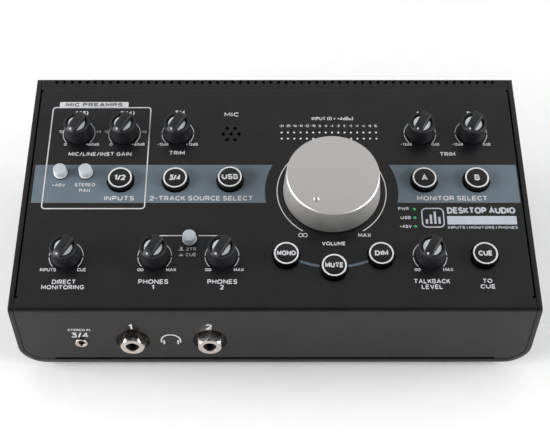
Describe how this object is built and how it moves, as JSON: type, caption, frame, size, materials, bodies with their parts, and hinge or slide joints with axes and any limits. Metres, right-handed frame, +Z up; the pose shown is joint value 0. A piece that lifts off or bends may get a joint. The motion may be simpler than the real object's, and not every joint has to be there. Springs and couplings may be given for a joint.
{
  "type": "audio interface",
  "caption": "Desktop audio interface: wedge-shaped metal case with a large volume knob, small rotary knobs, round push buttons, a light meter, and front and rear sockets.",
  "frame": {"origin": "middle of the base, on the surface that the feet stand on", "axes": "+X to the right along the width, +Y from the front face to the rear, +Z up"},
  "size_m": [0.29, 0.1608, 0.0896],
  "materials": {
    "case_paint": "fine textured charcoal powder coat",
    "rear_paint": "fine textured dark powder coat",
    "satin_metal": "satin turned metal",
    "knob_plastic": "satin moulded plastic",
    "button_plastic": "smooth black plastic with a pale ring",
    "cap_plastic": "satin pale grey plastic",
    "pot_metal": "plated steel can",
    "board": "green solder mask",
    "light_guide": "clear white moulding",
    "status_guide": "green moulding",
    "nickel": "bright nickel plate",
    "black_plastic": "moulded black plastic",
    "rubber": "matte black rubber"
  },
  "bodies": {
    "chassis": {"base_wrap": "case_paint", "top_cover": "case_paint", "rear_panel": "rear_paint", "main_board": "board", "volume_pot": "pot_metal", "gain_pot_1": "pot_metal", "gain_pot_2": "pot_metal", "trim_pot_34": "pot_metal", "trim_pot_a": "pot_metal", "trim_pot_b": "pot_metal", "direct_pot": "pot_metal", "phones_pot_1": "pot_metal", "phones_pot_2": "pot_metal", "talkback_pot": "pot_metal", "meter_light_guide": "light_guide", "status_light_guide": "status_guide", "talkback_mic": "rubber", "phone_jack_1": "black_plastic", "phone_jack_2": "black_plastic", "phone_nut_1": "nickel", "phone_nut_2": "nickel", "mini_jack": "nickel", "combo_jack_1": "black_plastic", "combo_jack_2": "black_plastic", "line_jack_1": "black_plastic", "line_jack_2": "black_plastic", "line_jack_3": "black_plastic", "line_jack_4": "black_plastic", "line_jack_5": "black_plastic", "line_jack_6": "black_plastic", "usb_socket": "nickel", "dc_inlet": "black_plastic", "power_switch_housing": "black_plastic", "foot_1": "rubber", "foot_2": "rubber", "foot_3": "rubber", "foot_4": "rubber"},
    "volume_knob": {"volume_knob": "satin_metal"},
    "gain_knob_1": {"gain_knob_1": "knob_plastic"},
    "gain_knob_2": {"gain_knob_2": "knob_plastic"},
    "trim_knob_34": {"trim_knob_34": "knob_plastic"},
    "trim_knob_a": {"trim_knob_a": "knob_plastic"},
    "trim_knob_b": {"trim_knob_b": "knob_plastic"},
    "direct_knob": {"direct_knob": "knob_plastic"},
    "phones_knob_1": {"phones_knob_1": "knob_plastic"},
    "phones_knob_2": {"phones_knob_2": "knob_plastic"},
    "talkback_knob": {"talkback_knob": "knob_plastic"},
    "button_12": {"button_12": "button_plastic"},
    "button_34": {"button_34": "button_plastic"},
    "button_usb": {"button_usb": "button_plastic"},
    "button_a": {"button_a": "button_plastic"},
    "button_b": {"button_b": "button_plastic"},
    "button_mono": {"button_mono": "button_plastic"},
    "button_mute": {"button_mute": "button_plastic"},
    "button_dim": {"button_dim": "button_plastic"},
    "button_cue": {"button_cue": "button_plastic"},
    "phantom_cap": {"phantom_cap": "cap_plastic"},
    "stereo_pan_cap": {"stereo_pan_cap": "cap_plastic"},
    "phones_source_cap": {"phones_source_cap": "cap_plastic"},
    "power_rocker": {"power_rocker": "black_plastic"}
  },
  "joints": [
    {"name": "volume_turn", "type": "hinge", "parent": "chassis", "child": "volume_knob", "pos_m": [0.0325, -0.00114, 0.06716], "axis": [0, -0.1802, 0.9836], "range_deg": [-300, 0]},
    {"name": "gain_1_turn", "type": "hinge", "parent": "chassis", "child": "gain_knob_1", "pos_m": [-0.1162, 0.0385, 0.07442], "axis": [0, -0.1802, 0.9836], "range_deg": [-300, 0]},
    {"name": "gain_2_turn", "type": "hinge", "parent": "chassis", "child": "gain_knob_2", "pos_m": [-0.0893, 0.0385, 0.07442], "axis": [0, -0.1802, 0.9836], "range_deg": [-300, 0]},
    {"name": "trim_34_turn", "type": "hinge", "parent": "chassis", "child": "trim_knob_34", "pos_m": [-0.0576, 0.0385, 0.07442], "axis": [0, -0.1802, 0.9836], "range_deg": [-300, 0]},
    {"name": "trim_a_turn", "type": "hinge", "parent": "chassis", "child": "trim_knob_a", "pos_m": [0.0861, 0.0385, 0.07442], "axis": [0, -0.1802, 0.9836], "range_deg": [-300, 0]},
    {"name": "trim_b_turn", "type": "hinge", "parent": "chassis", "child": "trim_knob_b", "pos_m": [0.1164, 0.0385, 0.07442], "axis": [0, -0.1802, 0.9836], "range_deg": [-300, 0]},
    {"name": "direct_turn", "type": "hinge", "parent": "chassis", "child": "direct_knob", "pos_m": [-0.1162, -0.04304, 0.05948], "axis": [0, -0.1802, 0.9836], "range_deg": [-300, 0]},
    {"name": "phones_1_turn", "type": "hinge", "parent": "chassis", "child": "phones_knob_1", "pos_m": [-0.067, -0.04304, 0.05948], "axis": [0, -0.1802, 0.9836], "range_deg": [-300, 0]},
    {"name": "phones_2_turn", "type": "hinge", "parent": "chassis", "child": "phones_knob_2", "pos_m": [-0.0296, -0.04304, 0.05948], "axis": [0, -0.1802, 0.9836], "range_deg": [-300, 0]},
    {"name": "talkback_turn", "type": "hinge", "parent": "chassis", "child": "talkback_knob", "pos_m": [0.0861, -0.04304, 0.05948], "axis": [0, -0.1802, 0.9836], "range_deg": [-300, 0]},
    {"name": "button_12_press", "type": "slide", "parent": "chassis", "child": "button_12", "axis": [0, 0.1802, -0.9836], "range_m": [0, 0.0015], "stiffness_N_per_m": 500},
    {"name": "button_34_press", "type": "slide", "parent": "chassis", "child": "button_34", "axis": [0, 0.1802, -0.9836], "range_m": [0, 0.0015], "stiffness_N_per_m": 500},
    {"name": "button_usb_press", "type": "slide", "parent": "chassis", "child": "button_usb", "axis": [0, 0.1802, -0.9836], "range_m": [0, 0.0015], "stiffness_N_per_m": 500},
    {"name": "button_a_press", "type": "slide", "parent": "chassis", "child": "button_a", "axis": [0, 0.1802, -0.9836], "range_m": [0, 0.0015], "stiffness_N_per_m": 500},
    {"name": "button_b_press", "type": "slide", "parent": "chassis", "child": "button_b", "axis": [0, 0.1802, -0.9836], "range_m": [0, 0.0015], "stiffness_N_per_m": 500},
    {"name": "button_mono_press", "type": "slide", "parent": "chassis", "child": "button_mono", "axis": [0, 0.1802, -0.9836], "range_m": [0, 0.0015], "stiffness_N_per_m": 500},
    {"name": "button_mute_press", "type": "slide", "parent": "chassis", "child": "button_mute", "axis": [0, 0.1802, -0.9836], "range_m": [0, 0.0015], "stiffness_N_per_m": 500},
    {"name": "button_dim_press", "type": "slide", "parent": "chassis", "child": "button_dim", "axis": [0, 0.1802, -0.9836], "range_m": [0, 0.0015], "stiffness_N_per_m": 500},
    {"name": "button_cue_press", "type": "slide", "parent": "chassis", "child": "button_cue", "axis": [0, 0.1802, -0.9836], "range_m": [0, 0.0015], "stiffness_N_per_m": 500},
    {"name": "phantom_cap_press", "type": "slide", "parent": "chassis", "child": "phantom_cap", "axis": [0, 0.1802, -0.9836], "range_m": [0, 0.002], "stiffness_N_per_m": 400},
    {"name": "stereo_pan_cap_press", "type": "slide", "parent": "chassis", "child": "stereo_pan_cap", "axis": [0, 0.1802, -0.9836], "range_m": [0, 0.002], "stiffness_N_per_m": 400},
    {"name": "phones_source_cap_press", "type": "slide", "parent": "chassis", "child": "phones_source_cap", "axis": [0, 0.1802, -0.9836], "range_m": [0, 0.002], "stiffness_N_per_m": 400},
    {"name": "power_rock", "type": "hinge", "parent": "chassis", "child": "power_rocker", "pos_m": [0.127, 0.0776, 0.0433], "axis": [1, 0, 0], "range_deg": [0, 20]}
  ]
}
